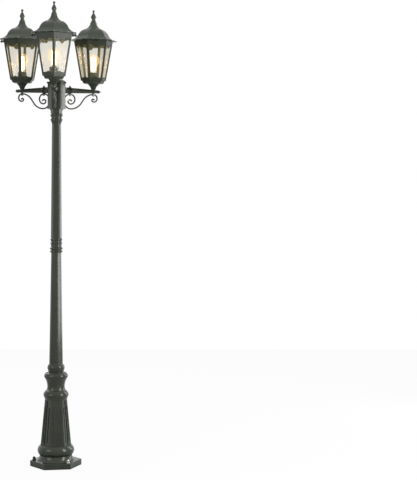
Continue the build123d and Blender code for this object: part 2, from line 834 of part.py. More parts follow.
# Scroll fasteners: a screw into the hub and one screw under each clip
screw_head_start = bar_reach + scroll_radius + slip
with BuildPart() as scroll_fasteners:
    with BuildSketch(Plane.YZ.offset(hub_face - hub_screw_depth)):
        with Locations((0, -scroll_hub_screw_drop)):
            Circle(hub_screw_radius)
    extrude(amount=screw_head_start - hub_face + hub_screw_depth)
    with BuildSketch(Plane.YZ.offset(screw_head_start)):
        with Locations((0, -scroll_hub_screw_drop)):
            Circle(hub_screw_head_radius)
    extrude(amount=hub_screw_head_radius, taper=25)
    for reach, bottom in clip_bottoms.items():
        with BuildSketch(Plane.XY.offset(bottom)):
            with Locations((reach, 0)):
                Circle(clip_screw_radius)
        extrude(amount=clip_screw_length)
        with BuildSketch(Plane.XY.offset(bottom)):
            with Locations((reach, 0)):
                Circle(clip_screw_head_radius)
        extrude(amount=-clip_screw_head_height, taper=15)
place_on_arms(scroll_fasteners.part, "scroll_fasteners")

# The lantern's pieces are drawn round their own axis, with a corner of the cage on +X

# Heights in the lantern, from the arm's axis
calyx_bottom = arm_seat_rise + seat_gap
pan_bottom = calyx_bottom + calyx_height
floor_top = pan_bottom + pan_floor
pan_top = pan_bottom + pan_height
cage_bottom = pan_top - cage_overhang
cage_top = cage_bottom + cage_height
holder_top = floor_top + holder_height
cap_bottom = holder_top - holder_bore_depth + seat_gap
glass_bottom = cap_bottom + cap_contact_height + cap_height
bulb_top = glass_bottom + bulb_height
eave = cage_top + roof_lip_height
roof_top = eave + roof_height

# Stem: hollow threaded tube with its nut, on which the lantern is turned
nut_bottom = floor_top + seat_gap
with BuildPart() as stem:
    with BuildSketch(Plane.XY.offset(arm_seat_rise - stem_depth)):
        Circle(stem_radius)
    extrude(amount=nut_bottom + stem_nut_height + 2 - arm_seat_rise + stem_depth)
    with BuildSketch(Plane.XY.offset(nut_bottom)):
        RegularPolygon(stem_nut_across / 2, 6, major_radius=False)
    extrude(amount=stem_nut_height)
    with BuildSketch(Plane.XY.offset(arm_seat_rise - stem_depth)):
        Circle(stem_bore_radius)
    extrude(until=Until.LAST, mode=Mode.SUBTRACT)
place_in_lanterns(stem.part, "stem")

# Calyx: flared cup of leaves between the arm and the pan
leaf_middle = calyx_bottom + calyx_height * 0.62
with BuildPart() as calyx:
    with BuildSketch(Plane.XZ):
        with BuildLine():
            Line((0, calyx_bottom), (calyx_bottom_radius, calyx_bottom))
            ThreePointArc(
                (calyx_bottom_radius, calyx_bottom),
                (calyx_top_radius * 0.6, leaf_middle),
                (calyx_top_radius, pan_bottom - 3),
            )
            Polyline(
                (calyx_top_radius, pan_bottom - 3),
                (calyx_top_radius, pan_bottom),
                (0, pan_bottom),
                (0, calyx_bottom),
            )
        make_face()
    revolve(axis=Axis.Z)
    with BuildSketch(Plane.XY.offset(calyx_bottom)):
        with PolarLocations(calyx_top_radius + 1.5, calyx_leaves, start_angle=15):
            Circle(calyx_notch_radius)
    extrude(amount=calyx_height, mode=Mode.SUBTRACT)
    with BuildSketch(Plane.XY.offset(calyx_bottom)):
        Circle(stem_radius + running)
    extrude(amount=calyx_height, mode=Mode.SUBTRACT)
place_in_lanterns(calyx.part, "calyx")


# Pan: six-sided bowl under the cage
def pan_outline():
    foot, top = pan_bottom_radius * hexagon, pan_radius * hexagon
    band = pan_top - pan_band
    inner_foot, inner_top = foot - pan_wall, top - pan_wall
    Line((0, pan_bottom), (foot, pan_bottom))
    ThreePointArc((foot, pan_bottom), (foot + 6.2, pan_bottom + 5.5), (top, band))
    Polyline((top, band), (top, pan_top), (inner_top, pan_top), (inner_top, band))
    ThreePointArc((inner_top, band), (inner_foot + 5, floor_top + 3.5), (inner_foot, floor_top))
    Polyline((inner_foot, floor_top), (0, floor_top), (0, pan_bottom))


pan_shell = hexagonal_rings(pan_outline, pan_radius, pan_bottom - 1, pan_top + 1)
with BuildPart() as pan:
    add(pan_shell)
    with BuildSketch(Plane.XY.offset(pan_bottom)):
        Circle(stem_radius + running)
    extrude(amount=pan_floor, mode=Mode.SUBTRACT)
place_in_lanterns(pan.part, "pan")

# Cage: six leaning faces with a scalloped gallery below and a scalloped valance above
cage_lean = atan2((cage_top_radius - cage_bottom_radius) * hexagon, cage_height)
face_length = cage_height / cos(cage_lean)
cage_planes = []
for side in range(6):
    facing = radians(30 + side * 60)
    cage_planes.append(Plane(
        origin=(
            cage_bottom_radius * hexagon * cos(facing),
            cage_bottom_radius * hexagon * sin(facing),
            cage_bottom,
        ),
        x_dir=(-sin(facing), cos(facing), 0),
        z_dir=(cos(facing) * cos(cage_lean), sin(facing) * cos(cage_lean), -sin(cage_lean)),
    ))


def half_face(along):
    # half the width of a cage face at a distance up its slope
    return (cage_bottom_radius + (cage_top_radius - cage_bottom_radius) * along / face_length) / 2


def scallops(half_width, base, depths):
    pitch = 2 * half_width / len(depths)
    for index, depth in enumerate(depths):
        left = -half_width + index * pitch
        ThreePointArc((left, base), (left + pitch / 2, base + depth), (left + pitch, base))


def hexagon_loft(bottom_radius, top_radius, bottom, top):
    with BuildPart() as block:
        with BuildSketch(Plane.XY.offset(bottom)):
            RegularPolygon(bottom_radius, 6)
        with BuildSketch(Plane.XY.offset(top)):
            RegularPolygon(top_radius, 6)
        loft()
    return block.part


cage_inset = cage_wall / cos(cage_lean) / hexagon
valance_line = face_length - valance_base
gallery_half = half_face(gallery_base) - mullion_half
valance_half = half_face(valance_line) - mullion_half
rail_inner = pan_radius - pan_wall / hexagon - 4
with BuildPart() as cage:
    add(hexagon_loft(cage_bottom_radius, cage_top_radius, cage_bottom, cage_top))
    cage_inside = (cage_bottom_radius - cage_inset, cage_top_radius - cage_inset)
    add(hexagon_loft(*cage_inside, cage_bottom, cage_top), mode=Mode.SUBTRACT)
    with BuildSketch(*cage_planes):
        with BuildLine():
            scallops(gallery_half, gallery_base, gallery_lobes)
            Line((gallery_half, gallery_base), (valance_half, valance_line))
            scallops(valance_half, valance_line, [-depth for depth in valance_lobes])
            Line((-valance_half, valance_line), (-gallery_half, gallery_base))
        make_face()
    extrude(amount=cage_wall * 2, both=True, mode=Mode.SUBTRACT)
    with BuildSketch(Plane.XY.offset(pan_top)):
        RegularPolygon(cage_bottom_radius - cage_inset / 2, 6)
        RegularPolygon(rail_inner, 6, mode=Mode.SUBTRACT)
    extrude(amount=cage_rail_depth)
    with BuildSketch(Plane.XY.offset(cage_top - cage_rail_depth)):
        RegularPolygon(cage_top_radius - cage_inset / 2, 6)
        RegularPolygon(cage_top_radius - cage_rail_width, 6, mode=Mode.SUBTRACT)
    extrude(amount=cage_rail_depth)
place_in_lanterns(cage.part, "cage")

# Panes: six flat panes behind the cage's faces, between its two rails
pane_low = (cage_overhang + cage_rail_depth + slip) / cos(cage_lean) + cage_wall * tan(cage_lean)
pane_high = face_length - (cage_rail_depth + slip) / cos(cage_lean) - cage_wall
pane_side = (cage_wall + pane_thickness) * tan(radians(30)) + slip
with BuildPart() as panes:
    with BuildSketch(*[plane.offset(-cage_wall) for plane in cage_planes]):
        with BuildLine():
            low_half = half_face(pane_low) - pane_side
            high_half = half_face(pane_high) - pane_side
            Polyline(
                (-low_half, pane_low),
                (low_half, pane_low),
                (high_half, pane_high),
                (-high_half, pane_high),
                (-low_half, pane_low),
            )
        make_face()
    extrude(amount=-pane_thickness)
place_in_lanterns(panes.part, "panes")

# Lampholder: stands on the pan's floor over the stem's nut, with the lamp's socket above
with BuildPart() as lampholder:
    with BuildSketch(Plane.XY.offset(floor_top)):
        Circle(holder_radius)
    extrude(amount=holder_height)
    chamfer(lampholder.faces().sort_by(Axis.Z)[-1].edges(), 1.5)
    with BuildSketch(Plane.XY.offset(floor_top)):
        Circle(holder_cavity_radius)
    extrude(amount=holder_cavity_height, mode=Mode.SUBTRACT)
    with BuildSketch(Plane.XY.offset(holder_top)):
        Circle(holder_bore_radius)
    extrude(amount=-holder_bore_depth, mode=Mode.SUBTRACT)
place_in_lanterns(lampholder.part, "lampholder")

# Bulb cap: screw shell and contact in the socket
glass_seat = glass_bottom - slip
with BuildPart() as bulb_cap:
    with BuildSketch(Plane.XZ):
        with BuildLine():
            shell_bottom = cap_bottom + cap_contact_height
            Polyline(
                (0, cap_bottom),
                (cap_contact_radius, cap_bottom),
                (cap_contact_radius, shell_bottom),
                (cap_radius - 3, shell_bottom),
                (cap_radius, shell_bottom + 3),
                (cap_radius, glass_bottom),
                (cap_radius - cap_wall, glass_bottom),
                (cap_radius - cap_wall, shell_bottom + 4),
                (0, shell_bottom + 4),
                (0, cap_bottom),
            )
        make_face()
    revolve(axis=Axis.Z)
place_in_lanterns(bulb_cap.part, "bulb_cap")


# Bulb: clear pear-shaped glass, closed by its cap
def bulb_outline(inset):
    crown = bulb_radius - inset
    centre = bulb_top - bulb_radius
    shoulder = (crown * 0.8667, centre - crown * 0.4989)
    neck = (bulb_neck_radius - inset, glass_bottom)
    neck_top = (bulb_neck_radius - inset + 0.6, glass_bottom + 10)
    Line(neck, neck_top)
    ThreePointArc(
        neck_top,
        ((neck_top[0] + shoulder[0]) / 2 - 1.4, (neck_top[1] + shoulder[1]) / 2 + 1),
        shoulder,
    )
    RadiusArc(shoulder, (crown, centre), -crown)
    RadiusArc((crown, centre), (0, centre + crown), -crown)
    Polyline((0, centre + crown), (0, glass_bottom), neck)


with BuildPart() as bulb:
    for inset, mode in ((0, Mode.ADD), (bulb_wall, Mode.SUBTRACT)):
        with BuildSketch(Plane.XZ):
            with BuildLine():
                bulb_outline(inset)
            make_face()
        revolve(axis=Axis.Z, mode=mode)
place_in_lanterns(bulb.part, "bulb")

# Filament: glass stem from the cap's insulator, two carrying rings and six upright rods
stem_bottom = cap_bottom + cap_contact_height + 4
stem_glass_top = glass_bottom + stem_glass_height
with BuildPart() as filament:
    with BuildSketch(Plane.XY.offset(stem_bottom)):
        Circle(stem_glass_radius)
    extrude(amount=stem_glass_top - stem_bottom)
    for level in (stem_glass_top, stem_glass_top + filament_length):
        with BuildSketch(Plane.XY.offset(level)):
            Circle(filament_ring_radius + filament_ring_half)
            Circle(filament_ring_radius - filament_ring_half, mode=Mode.SUBTRACT)
            with PolarLocations(0, filament_count):
                Rectangle(filament_ring_radius, 1.2, align=(Align.MIN, Align.CENTER))
        extrude(amount=filament_ring_height)
    with BuildSketch(Plane.XY.offset(stem_glass_top)):
        with PolarLocations(filament_ring_radius, filament_count):
            Circle(filament_radius)
        Circle(filament_radius)
    extrude(amount=filament_length + filament_ring_height)
place_in_lanterns(filament.part, "filament")


# Roof: six curved faces, concave at the neck, full at the shoulder and flared at the eave
def roof_outline(inset):
    # the wall's inner face is the same curve, moved in and down
    edge = roof_radius * hexagon
    stations = {
        "neck": (roof_neck_apothem, roof_top),
        "throat": (edge * 0.188, roof_top - roof_height * 0.214),
        "waist": (edge * 0.31, roof_top - roof_height * 0.352),
        "shoulder": (edge * 0.53, eave + roof_height * 0.496),
        "hip": (edge * 0.64, eave + roof_height * 0.29),
        "flare": (edge * 0.755, eave + roof_height * 0.115),
        "lip": (edge, eave),
    }
    point = {name: (across - inset, rise - inset) for name, (across, rise) in stations.items()}
    base = (point["lip"][0], eave - roof_wall - inset)
    ThreePointArc(point["neck"], point["throat"], point["waist"])
    ThreePointArc(point["waist"], point["shoulder"], point["hip"])
    ThreePointArc(point["hip"], point["flare"], point["lip"])
    Polyline(point["lip"], base, (0, base[1]), (0, point["neck"][1]), point["neck"])


def skirt_outline():
    outer = (cage_top_radius - cage_inset) * hexagon - 1.5
    Polyline(
        (outer, cage_top + seat_gap),
        (outer, eave + roof_skirt_rise),
        (outer - roof_skirt_wall, eave + roof_skirt_rise + roof_skirt_wall),
        (outer - roof_skirt_wall, cage_top + seat_gap),
        (outer, cage_top + seat_gap),
    )


roof_low = cage_top - 2
roof_high = roof_top + 1
roof_outer = hexagonal_rings(lambda: roof_outline(0), roof_radius, roof_low, roof_high)
roof_inner = hexagonal_rings(lambda: roof_outline(roof_wall), roof_radius, roof_low - roof_wall, roof_high)
roof_skirt = hexagonal_rings(skirt_outline, roof_radius, roof_low, roof_high)
tab_reach = cage_top_radius * hexagon + seat_gap
with BuildPart() as roof:
    add(roof_outer)
    add(roof_inner, mode=Mode.SUBTRACT)
    add(roof_skirt)
    for turn in (0, 180):
        tab_plane = Plane.XZ.rotated((0, 0, turn)).offset(tab_reach)
        with BuildSketch(tab_plane):
            with Locations((0, eave - roof_tab_drop)):
                tab_height = roof_tab_drop + roof_tab_rise
                Rectangle(roof_tab_width, tab_height, align=(Align.CENTER, Align.MIN))
        extrude(amount=roof_tab_thickness)
        with BuildSketch(tab_plane):
            with Locations((0, eave - thumb_screw_drop)):
                Circle(thumb_screw_radius + slip)
        extrude(amount=roof_tab_thickness, mode=Mode.SUBTRACT)
    with BuildSketch(Plane.XY.offset(roof_top)):
        Circle(finial_stud_radius + slip)
    extrude(amount=-finial_stud_length - slip, mode=Mode.SUBTRACT)
place_in_lanterns(roof.part, "roof")

# Finial: bead, neck, six-sided cone and ball, with a stud in the roof's neck
cone_wide = roof_top + finial_height * 0.41
cone_narrow = roof_top + finial_height - finial_ball_radius * 2 - 1.5
with BuildPart() as finial:
    with BuildSketch(Plane.XZ):
        with BuildLine():
            Polyline(
                (0, roof_top - finial_stud_length),
                (finial_stud_radius, roof_top - finial_stud_length),
                (finial_stud_radius, roof_top),
                (finial_bead_radius - 2, roof_top),
            )
            ThreePointArc(
                (finial_bead_radius - 2, roof_top),
                (finial_bead_radius, roof_top + 4.5),
                (finial_neck_radius, roof_top + 10),
            )
            Polyline(
                (finial_neck_radius, roof_top + 10),
                (finial_neck_radius - 0.6, roof_top + 15),
                (finial_neck_radius, cone_wide - 5),
                (0, cone_wide - 5),
                (0, roof_top - finial_stud_length),
            )
        make_face()
    revolve(axis=Axis.Z)
    add(hexagon_loft(finial_neck_radius, finial_cone_radius, cone_wide - 6, cone_wide - 1))
    with BuildSketch(Plane.XY.offset(cone_wide - 1)):
        RegularPolygon(finial_cone_radius, 6)
    extrude(amount=3)
    add(hexagon_loft(finial_cone_radius, finial_ball_radius * 0.66, cone_wide + 2, cone_narrow))
    with BuildSketch(Plane.XY.offset(cone_narrow)):
        Circle(finial_ball_radius * 0.55)
    extrude(amount=finial_ball_radius)
    with Locations((0, 0, roof_top + finial_height - finial_ball_radius)):
        Sphere(finial_ball_radius)
place_in_lanterns(finial.part, "finial")

# Thumb screws: trefoil wings on a boss, one in each of the roof's two tabs
screw_axis = eave - thumb_screw_drop
screw_inner = tab_reach
screw_boss = tab_reach + roof_tab_thickness + slip
with BuildPart() as thumb_screws:
    for turn in (0, 180):
        across = Plane.XZ.rotated((0, 0, turn))
        with BuildSketch(across.offset(screw_inner)):
            with Locations((0, screw_axis)):
                Circle(thumb_screw_radius)
        extrude(amount=screw_boss - screw_inner)
        with BuildSketch(across.offset(screw_boss)):
            with Locations((0, screw_axis)):
                Circle(thumb_screw_boss_radius)
        extrude(amount=thumb_screw_reach * 0.5)
        facing = -1 if turn == 0 else 1
        wing_reach = (screw_boss + thumb_screw_reach * 0.55) * facing
        tip_reach = (screw_boss + thumb_screw_reach - thumb_lobe_radius) * facing
        with BuildSketch(Plane.XY.offset(screw_axis - thumb_plate / 2)):
            with Locations((0, wing_reach)):
                Rectangle(thumb_wing_span, thumb_lobe_radius)
            with Locations(
                (-thumb_wing_span + thumb_lobe_radius, wing_reach),
                (thumb_wing_span - thumb_lobe_radius, wing_reach),
                (0, tip_reach),
            ):
                Circle(thumb_lobe_radius)
        extrude(amount=thumb_plate)
        with BuildSketch(Plane.YZ.offset(-thumb_plate / 2)):
            with Locations((wing_reach, screw_axis)):
                Ellipse(thumb_lobe_radius, thumb_wing_rise)
        extrude(amount=thumb_plate)
place_in_lanterns(thumb_screws.part, "thumb_screws")
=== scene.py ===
import bpy
import bmesh
import json
from math import cos, pi, radians, sin
from mathutils import Matrix, Quaternion, Vector


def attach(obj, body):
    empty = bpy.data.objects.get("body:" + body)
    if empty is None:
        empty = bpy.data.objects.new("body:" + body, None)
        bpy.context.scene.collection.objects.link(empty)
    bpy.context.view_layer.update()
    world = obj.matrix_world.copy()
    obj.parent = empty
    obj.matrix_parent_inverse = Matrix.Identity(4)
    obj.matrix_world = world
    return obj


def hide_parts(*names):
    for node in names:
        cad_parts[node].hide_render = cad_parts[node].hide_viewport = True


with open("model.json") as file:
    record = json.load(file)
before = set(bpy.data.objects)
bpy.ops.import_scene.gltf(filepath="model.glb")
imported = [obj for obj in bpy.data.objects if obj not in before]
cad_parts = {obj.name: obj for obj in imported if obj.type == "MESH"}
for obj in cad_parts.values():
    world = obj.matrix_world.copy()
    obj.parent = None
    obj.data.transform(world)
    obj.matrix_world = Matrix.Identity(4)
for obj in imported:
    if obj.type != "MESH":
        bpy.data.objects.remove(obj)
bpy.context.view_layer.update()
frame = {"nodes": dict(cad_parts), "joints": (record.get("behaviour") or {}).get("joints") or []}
mm = 0.001
sides = ("front", "right", "left")
corners = 6  # of each lantern and roof
lanternAngle = {"front": -86.5, "right": 13.3, "left": 86.5}  # degrees, one corner of each cage
lanternAxis = {
    side: next(j["pos_m"] for j in frame["joints"] if j["name"] == f"lantern_{side}_turn")
    for side in sides
}
print("frame loaded:", len(frame["nodes"]), "nodes")


# Nodes

class Wire:  # a node's output that takes part in plain arithmetic
    def __init__(self, nodes, socket):
        self.nodes = nodes
        self.socket = socket

    def __add__(self, other):
        return self.nodes.maths("ADD", self, other)

    def __radd__(self, other):
        return self.nodes.maths("ADD", other, self)

    def __sub__(self, other):
        return self.nodes.maths("SUBTRACT", self, other)

    def __rsub__(self, other):
        return self.nodes.maths("SUBTRACT", other, self)

    def __mul__(self, other):
        return self.nodes.maths("MULTIPLY", self, other)

    def __rmul__(self, other):
        return self.nodes.maths("MULTIPLY", other, self)

    def __truediv__(self, other):
        return self.nodes.maths("DIVIDE", self, other)

    def __pow__(self, other):
        return self.nodes.maths("POWER", self, other)


class NodeTree:  # a tree, and the one way in which its nodes are made
    def __init__(self, tree):
        self.tree = tree

    def node(self, kind, settings=None, inputs=None, output=0):
        made = self.tree.nodes.new(kind)
        for key, value in (settings or {}).items():
            if key == "stops":
                ramp = made.color_ramp
                while len(ramp.elements) < len(value):
                    ramp.elements.new(1)
                for stop, (position, tone) in zip(ramp.elements, value):
                    stop.position = position
                    stop.color = tone
            else:
                setattr(made, key, value)
        for key, value in (inputs or {}).items():
            if isinstance(value, Wire):
                self.tree.links.new(value.socket, made.inputs[key])
            else:
                made.inputs[key].default_value = value
        return Wire(self, made.outputs[output] if made.outputs else None)

    def maths(self, operation, first, second):
        return self.node("ShaderNodeMath", {"operation": operation}, {0: first, 1: second})


class Finish(NodeTree):  # one material and its nodes
    def __init__(self, name):
        self.material = bpy.data.materials.new(name)
        self.material.use_nodes = True
        super().__init__(self.material.node_tree)
        self.tree.nodes.clear()
        self.place = self.node("ShaderNodeTexCoord", output="Object")

    def noise(self, size, detail=2.0, roughness=0.5):  # size of one cloud, in metres
        inputs = {"Vector": self.place, "Scale": 1 / size, "Detail": detail, "Roughness": roughness}
        return self.node("ShaderNodeTexNoise", None, inputs)

    def ramp(self, value, *stops):  # each stop is a position and a level
        levels = [(position, (level, level, level, 1)) for position, level in stops]
        return self.node("ShaderNodeValToRGB", {"stops": levels}, {"Fac": value})

    def mix(self, amount, first, second):  # two colours
        inputs = {"Factor": amount, 6: first, 7: second}
        return self.node("ShaderNodeMix", {"data_type": "RGBA"}, inputs, 2)

    def bump(self, height, distance, strength):
        inputs = {"Height": height, "Distance": distance, "Strength": strength}
        return self.node("ShaderNodeBump", None, inputs)

    def upward(self):  # 1 where a face looks straight up
        normal = self.node("ShaderNodeNewGeometry", output="Normal")
        return self.node("ShaderNodeSeparateXYZ", None, {0: normal}, "Z")

    def surface(self, inputs):
        shader = self.node("ShaderNodeBsdfPrincipled", None, inputs)
        self.node("ShaderNodeOutputMaterial", None, {"Surface": shader})
        return self.material


def shade(red, green, blue):
    return (red, green, blue, 1)


def scaled(tone, share):
    return shade(*[level * share for level in tone])


# Paints: cloudy green enamel with a little orange peel, pale specks, and painted light that makes what looks up paler
paintGrain = {
    "speckSize": 0.0022, "speckFrom": 0.66, "speckTo": 0.74, "speckShare": 0.06, "paintedTopLightFrom": 0.25, "paintedTopLightTo": 0.95,
    "cloudRough": 0.1, "paintedTopLightRough": 0.12, "peelRough": 0.03, "cloudRelief": 0.5, "coatRoughness": 0.1,
}
# each paint's pale tone serves both the pale specks and the painted light on faces that look up
paints = {
    "postPaint": {
        "deep": shade(0.015, 0.019, 0.011), "light": shade(0.032, 0.040, 0.026),
        "speckAndTopLightTone": shade(0.09, 0.10, 0.08), "paintedTopLight": 0.25, "cloud": 0.06, "peel": 0.005,
        "relief": 0.0001, "strength": 0.2, "roughness": 0.2, "coat": 0.22, "gloss": 0.28,
    },
    "lanternPaint": {
        "deep": shade(0.022, 0.027, 0.017), "light": shade(0.048, 0.057, 0.040),
        "speckAndTopLightTone": shade(0.09, 0.10, 0.08), "paintedTopLight": 0.25, "cloud": 0.03, "peel": 0.004,
        "relief": 0.0001, "strength": 0.25, "roughness": 0.24, "coat": 0.06, "gloss": 0.12,
    },
    "roofPaint": {
        "deep": shade(0.044, 0.054, 0.039), "light": shade(0.072, 0.085, 0.063),
        "speckAndTopLightTone": shade(0.12, 0.135, 0.11), "paintedTopLight": 0.35, "cloud": 0.05, "peel": 0.003,
        "relief": 0.0002, "strength": 0.3, "roughness": 0.34, "coat": 0.1, "gloss": 0.28,
    },
}


def paintFinish(name):
    paint, grain = paints[name], paintGrain
    finish = Finish(name)
    cloud = finish.noise(paint["cloud"], 3)
    peel = finish.noise(paint["peel"], 2)
    fleck = finish.noise(grain["speckSize"], 4, 0.7)
    speck = finish.ramp(fleck, (grain["speckFrom"], 0.0), (grain["speckTo"], 1.0))
    # painted light: faces that look up are made paler and a little rougher
    paintedTopLight = finish.ramp(finish.upward(), (grain["paintedTopLightFrom"], 0.0), (grain["paintedTopLightTo"], paint["paintedTopLight"]))
    body = finish.mix(cloud, paint["deep"], paint["light"])
    rough = paint["roughness"] + grain["cloudRough"] * (cloud - 0.5) + grain["paintedTopLightRough"] * paintedTopLight
    return finish.surface({
        "Base Color": finish.mix(paintedTopLight + grain["speckShare"] * speck, body, paint["speckAndTopLightTone"]),
        "Roughness": rough + grain["peelRough"] * peel,
        "Metallic": 0.0,
        "Normal": finish.bump(peel + grain["cloudRelief"] * cloud, paint["relief"], paint["strength"]),
        "Coat Weight": paint["coat"],
        "Coat Roughness": grain["coatRoughness"],
        "Specular IOR Level": paint["gloss"],
    })


# Metals
metalGrain = {"stain": 0.004, "darkest": 0.6, "roughSpread": 0.2, "scratch": 0.0006, "depth": 0.00004, "strength": 0.5}
metals = {
    "screwSteel": {"tone": (0.30, 0.30, 0.28), "roughness": 0.34},
    "capMetal": {"tone": (0.72, 0.71, 0.68), "roughness": 0.22},
    "stemBrass": {"tone": (0.66, 0.49, 0.22), "roughness": 0.3},
    "rimPearl": {"tone": (0.86, 0.87, 0.84), "roughness": 0.2},
}


def metalFinish(name):
    metal, grain = metals[name], metalGrain
    finish = Finish(name)
    stain = finish.noise(grain["stain"], 3)
    scratch = finish.noise(grain["scratch"], 2)
    return finish.surface({
        "Base Color": finish.mix(stain, shade(*metal["tone"]), scaled(metal["tone"], grain["darkest"])),
        "Metallic": 1.0,
        "Roughness": metal["roughness"] + grain["roughSpread"] * (stain - 0.5),
        "Normal": finish.bump(scratch, grain["depth"], grain["strength"]),
    })


# the pale tone is a painted highlight on the nuts to the right of the post's middle
anchorMetal = {
    "black": shade(0.045, 0.045, 0.043), "paintedHighlight": shade(0.42, 0.42, 0.39), "perMetre": 5.0, "from": 0.45, "to": 0.55,
    "stain": 0.004, "metallic": 0.9, "roughness": 0.24, "stainRough": 0.16, "depth": 0.00006, "strength": 0.4,
}


def anchorFinish():  # black, with a painted highlight that makes the nuts on the right of the foot bright
    finish = Finish("anchorSteel")
    across = finish.node("ShaderNodeSeparateXYZ", None, {0: finish.place}, "X")
    middle = across * anchorMetal["perMetre"] + 0.5
    # painted highlight: bright from the middle of the foot rightwards
    paintedHighlight = finish.ramp(middle, (anchorMetal["from"], 0.0), (anchorMetal["to"], 1.0))
    stain = finish.noise(anchorMetal["stain"], 3)
    return finish.surface({
        "Base Color": finish.mix(paintedHighlight, anchorMetal["black"], anchorMetal["paintedHighlight"]),
        "Metallic": anchorMetal["metallic"],
        "Roughness": anchorMetal["roughness"] + anchorMetal["stainRough"] * stain,
        "Normal": finish.bump(stain, anchorMetal["depth"], anchorMetal["strength"]),
    })


# Plastics
plasticGrain = {"mould": 0.0009, "cloud": 0.01, "lightest": 1.5, "roughSpread": 0.1, "depth": 0.00005, "strength": 0.6}
plastics = {
    "holderPlastic": {"tone": (0.009, 0.007, 0.006), "roughness": 0.35},
    "terminalPlastic": {"tone": (0.55, 0.52, 0.42), "roughness": 0.5},
}


def plasticFinish(name):
    plastic, grain = plastics[name], plasticGrain
    finish = Finish(name)
    mould = finish.noise(grain["mould"], 2)
    cloud = finish.noise(grain["cloud"], 2)
    return finish.surface({
        "Base Color": finish.mix(cloud, shade(*plastic["tone"]), scaled(plastic["tone"], grain["lightest"])),
        "Roughness": plastic["roughness"] + grain["roughSpread"] * (mould - 0.5),
        "Normal": finish.bump(mould, grain["depth"], grain["strength"]),
    })


# Glass and glow
paneTint = {
    "first": shade(0.39, 0.36, 0.15), "second": shade(0.33, 0.32, 0.18), "wave": 0.016, "seed": 0.0045,
    "roughness": 0.04, "seedRough": 0.05, "seedRelief": 0.3, "depth": 0.0012, "strength": 0.35,
    "thinnest": 0.13, "edge": 0.24, "edgeBlend": 0.25, "seedAlpha": 0.04, "bending": 1.5,
}
bulbTint = {
    "middle": shade(0.14, 0.10, 0.05), "edge": shade(0.55, 0.48, 0.36), "glowMiddle": shade(1.0, 0.72, 0.34),
    "glowEdge": shade(0.12, 0.08, 0.04), "glow": 1.9, "edgeBlend": 0.35, "streak": 0.012, "roughness": 0.03,
    "streakRough": 0.02, "thinnest": 0.08, "edgeAlpha": 0.5, "edgePower": 3.0, "depth": 0.0004, "strength": 0.2,
    "bending": 1.48,
}
filamentTint = {
    "first": shade(1.0, 0.66, 0.26), "second": shade(1.0, 0.82, 0.46), "spot": 0.004, "from": 0.35, "to": 0.65,
    "roughness": 0.5, "glow": 9.0,
}


def paneGlassFinish():
    finish = Finish("paneGlass")
    wave = finish.noise(paneTint["wave"], 2)
    seed = finish.noise(paneTint["seed"], 3, 0.6)
    rim = finish.node("ShaderNodeLayerWeight", None, {"Blend": paneTint["edgeBlend"]}, "Fresnel")
    ripple = wave + paneTint["seedRelief"] * seed
    return finish.surface({
        "Base Color": finish.mix(wave, paneTint["first"], paneTint["second"]),
        "Roughness": paneTint["roughness"] + paneTint["seedRough"] * seed,
        "Normal": finish.bump(ripple, paneTint["depth"], paneTint["strength"]),
        "Alpha": paneTint["thinnest"] + paneTint["edge"] * rim + paneTint["seedAlpha"] * (seed - 0.5),
        "IOR": paneTint["bending"],
    })


def bulbGlassFinish():
    finish = Finish("bulbGlass")
    rim = finish.node("ShaderNodeLayerWeight", None, {"Blend": bulbTint["edgeBlend"]}, "Facing")
    streak = finish.noise(bulbTint["streak"], 2)
    return finish.surface({
        "Base Color": finish.mix(rim, bulbTint["middle"], bulbTint["edge"]),
        "Roughness": bulbTint["roughness"] + bulbTint["streakRough"] * streak,
        "Alpha": bulbTint["thinnest"] + bulbTint["edgeAlpha"] * rim ** bulbTint["edgePower"],
        "Normal": finish.bump(streak, bulbTint["depth"], bulbTint["strength"]),
        "IOR": bulbTint["bending"],
        "Emission Color": finish.mix(rim, bulbTint["glowMiddle"], bulbTint["glowEdge"]),
        "Emission Strength": bulbTint["glow"],
    })


def filamentFinish():
    finish = Finish("filamentGlow")
    spot = finish.noise(filamentTint["spot"], 2)
    hot = finish.ramp(spot, (filamentTint["from"], 0.0), (filamentTint["to"], 1.0))
    glow = finish.mix(hot, filamentTint["first"], filamentTint["second"])
    return finish.surface({
        "Base Color": glow, "Roughness": filamentTint["roughness"], "Emission Color": glow,
        "Emission Strength": filamentTint["glow"],
    })


lanternPaint = paintFinish("lanternPaint")
rimPearl = metalFinish("rimPearl")
stemBrass = metalFinish("stemBrass")
terminalPlastic = plasticFinish("terminalPlastic")
slotFinish = {
    "post_paint": paintFinish("postPaint"), "lantern_paint": lanternPaint, "roof_paint": paintFinish("roofPaint"),
    "screw_steel": metalFinish("screwSteel"), "cap_metal": metalFinish("capMetal"), "anchor_steel": anchorFinish(),
    "holder_plastic": plasticFinish("holderPlastic"), "pane_glass": paneGlassFinish(),
    "bulb_glass": bulbGlassFinish(), "filament": filamentFinish(),
}
print("materials made")


# Pieces and meshes
rounding = {"angle": 38, "segments": 2}  # degrees from which an edge is rounded
cleaning = {"merge": 0.01 * mm, "flat": 0.4, "tubeMerge": 0.005 * mm}  # flat in degrees
ball = {"around": 20, "up": 12}


def addPiece(name, mesh, body, slot, replaced=(), finish=None):
    piece = bpy.data.objects.new(name, mesh)
    bpy.context.scene.collection.objects.link(piece)
    mesh.materials.clear()
    mesh.materials.append(finish or slotFinish[slot])
    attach(piece, body)
    if replaced:
        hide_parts(*replaced)


def paintNode(node, finish):  # a CAD node that keeps its shape
    slots = frame["nodes"][node].data.materials
    slots.clear()
    slots.append(finish)


def holderOf(mesh):
    holder = bpy.data.objects.new("holder", mesh)
    bpy.context.scene.collection.objects.link(holder)
    return holder


def evaluatedMesh(holder, name):  # the holder's modifiers become a plain mesh, and the holder goes
    bpy.context.view_layer.update()
    graph = bpy.context.evaluated_depsgraph_get()
    mesh = bpy.data.meshes.new_from_object(holder.evaluated_get(graph), depsgraph=graph)
    mesh.name = name
    bpy.data.objects.remove(holder)
    return mesh


